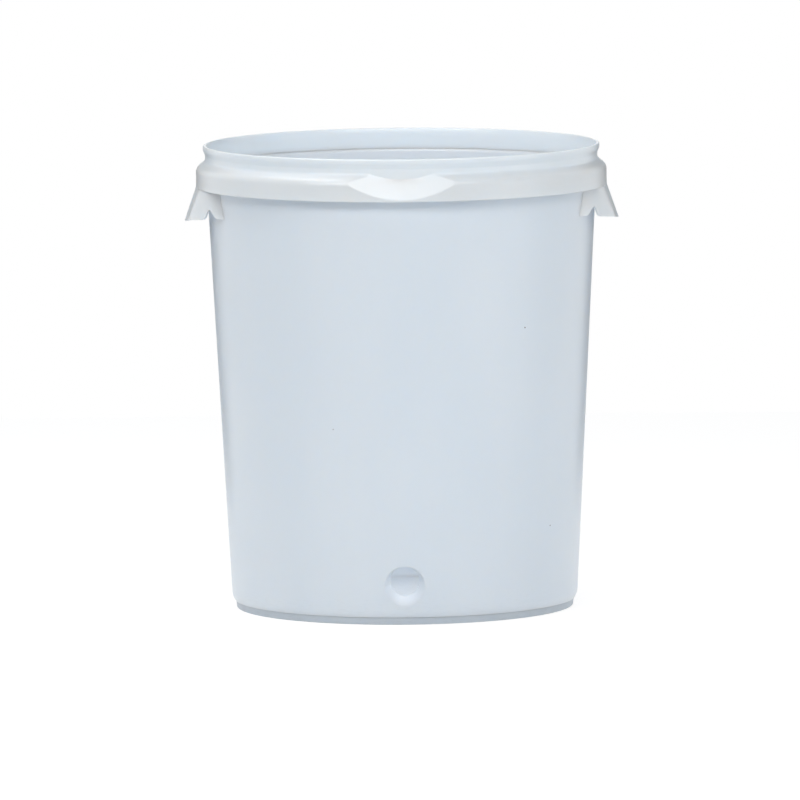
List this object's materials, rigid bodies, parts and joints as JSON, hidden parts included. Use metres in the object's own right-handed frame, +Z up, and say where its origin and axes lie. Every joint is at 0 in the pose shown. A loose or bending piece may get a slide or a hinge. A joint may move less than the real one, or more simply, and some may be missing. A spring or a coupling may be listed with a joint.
{
  "type": "plastic bucket",
  "caption": "Open tapered plastic bucket with a lid bead, hollow skirt band, two moulded hand grips, a foot ring and a dished tap hole low on its front.",
  "frame": {"origin": "on the bucket's axis, in the plane of the table that the foot ring stands on", "axes": "+Z up out of the mouth; -Y points out of the tap hole, at the front; the two grips lie on +X and -X"},
  "size_m": [0.3804, 0.36, 0.407],
  "materials": {
    "white_plastic": "satin, slightly translucent natural white polypropylene with a cool tint"
  },
  "bodies": {
    "root": {"floor": "white_plastic", "floor_corner": "white_plastic", "foot_ring": "white_plastic", "side_wall": "white_plastic", "tap_boss": "white_plastic", "neck": "white_plastic", "lid_bead": "white_plastic", "shoulder": "white_plastic", "front_band": "white_plastic", "rear_band": "white_plastic", "front_relief": "white_plastic", "skirt_ribs": "white_plastic", "right_grip_flap": "white_plastic", "right_grip_rear_plate": "white_plastic", "right_grip_front_plate": "white_plastic", "left_grip_flap": "white_plastic", "left_grip_rear_plate": "white_plastic", "left_grip_front_plate": "white_plastic"}
  },
  "joints": []
}
